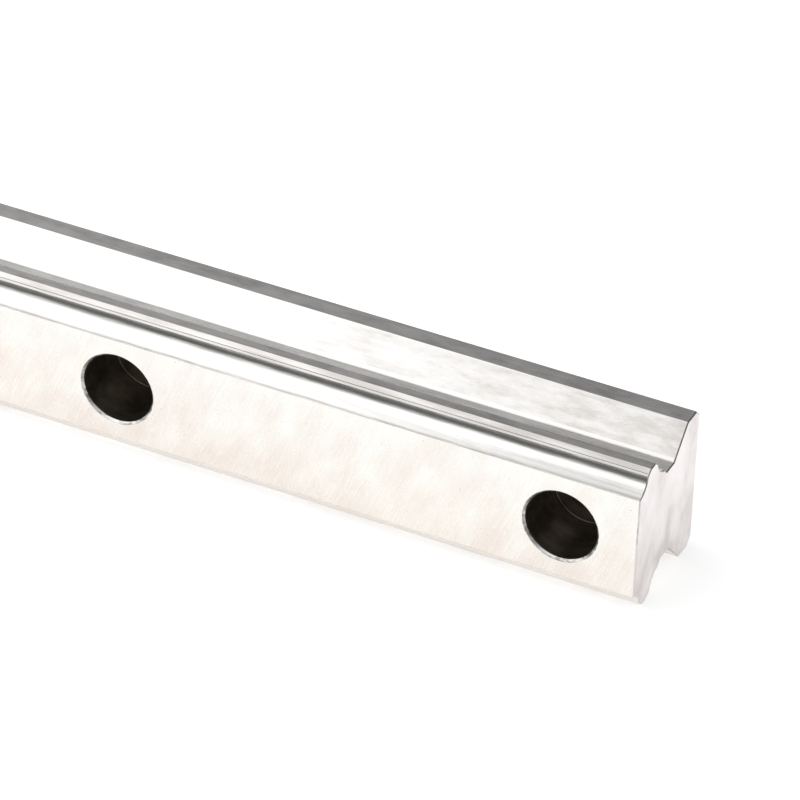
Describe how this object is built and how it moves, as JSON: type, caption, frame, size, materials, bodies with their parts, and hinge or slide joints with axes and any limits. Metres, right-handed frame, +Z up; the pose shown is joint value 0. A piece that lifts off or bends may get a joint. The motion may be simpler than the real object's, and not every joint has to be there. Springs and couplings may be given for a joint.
{
  "type": "linear guide rail",
  "caption": "Ground steel profile rail for a ball-type linear guide, with raceways along both ridged sides and a row of counterbored bolt holes down the top face.",
  "frame": {"origin": "under the middle of the rail: half its length and half its height along, on the floor that its lower side lies on", "axes": "+X along the length, towards the end seen in the picture; +Y out of the mounting face, so the top face with the counterbores looks to -Y; +Z up, across the rail's width, with the rail lying on its side as pictured"},
  "size_m": [0.2, 0.0176, 0.02],
  "materials": {
    "ground_steel": "bright ground bearing steel, fine grinding lines along the length, darker drilled bores"
  },
  "bodies": {
    "root": {"guide_rail": "ground_steel"}
  },
  "joints": []
}
